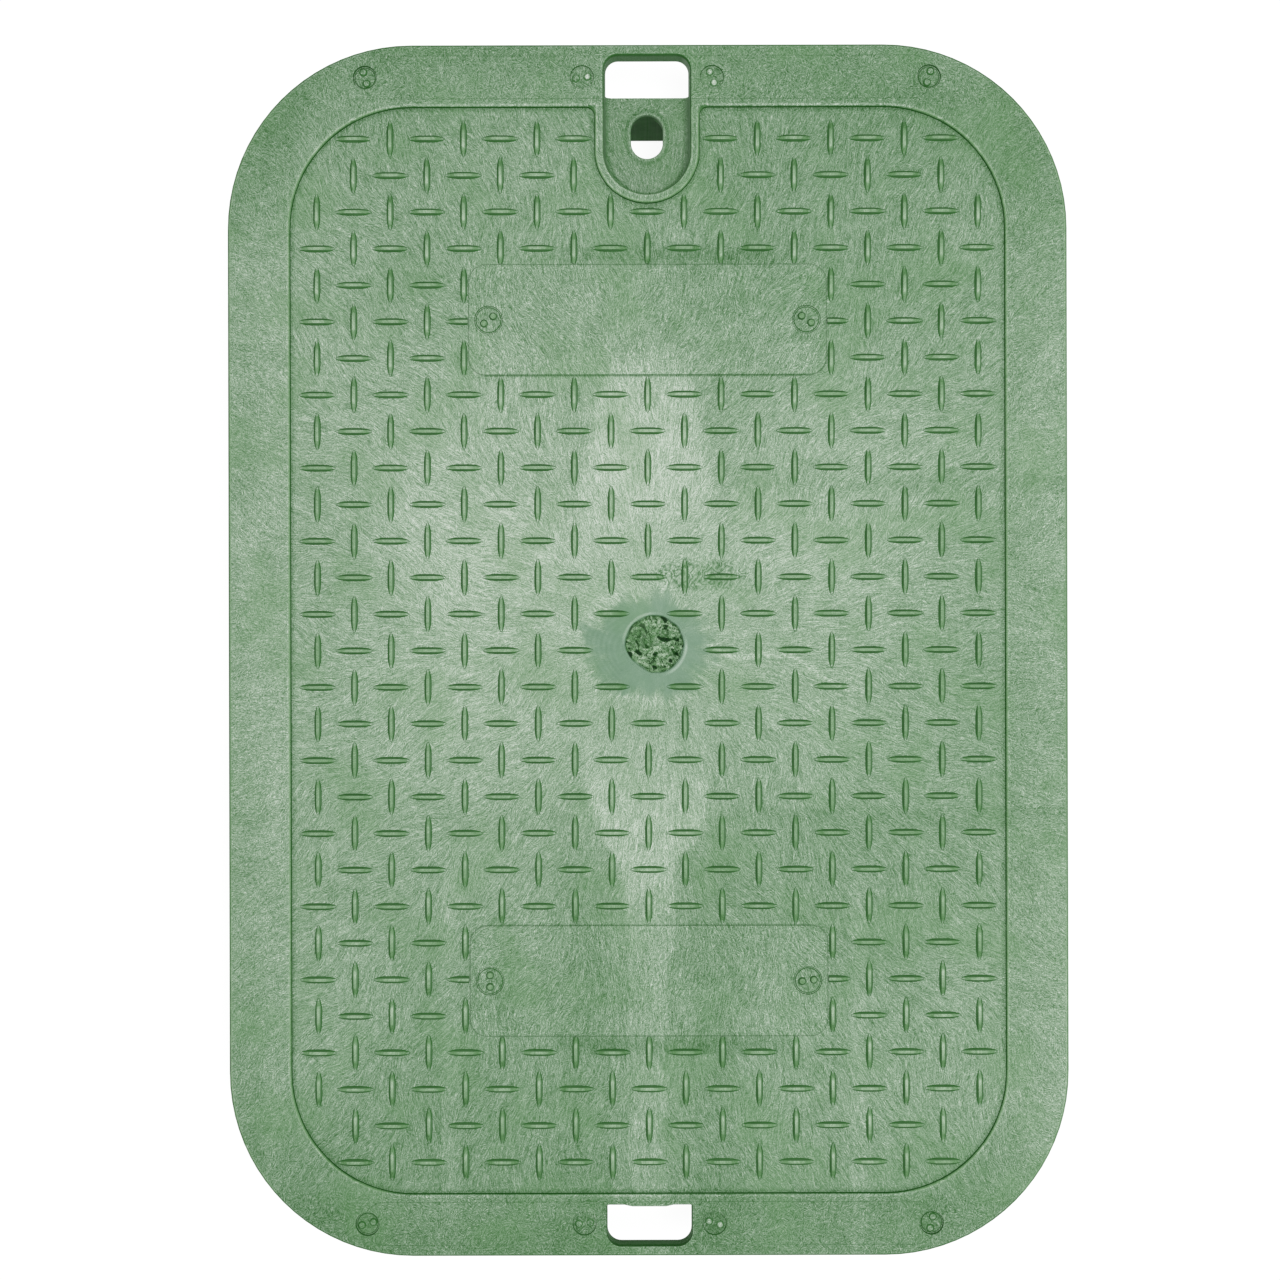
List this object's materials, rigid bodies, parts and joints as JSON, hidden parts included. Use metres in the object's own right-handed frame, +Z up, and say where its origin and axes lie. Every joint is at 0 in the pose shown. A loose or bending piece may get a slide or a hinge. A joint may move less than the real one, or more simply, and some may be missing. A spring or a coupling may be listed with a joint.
{
  "type": "valve box cover",
  "caption": "Rectangular drop-in cover for a buried valve box: a flanged lid with raised tread lugs, a skirt and ribs below, finger slots at both ends and a lock bolt slot.",
  "frame": {"origin": "middle of the cover in plan, on the plane of the skirt's foot, which is the cover's lowest face", "axes": "+Z up through the tread, +Y along the cover towards the end with the finger pocket and lock bolt slot, +X to the right seen from above"},
  "size_m": [0.297, 0.4284, 0.04],
  "materials": {
    "green_plastic": "pale green structural foam plastic with grey flow marks, dull and slightly rough"
  },
  "bodies": {
    "root": {"cover": "green_plastic"}
  },
  "joints": []
}
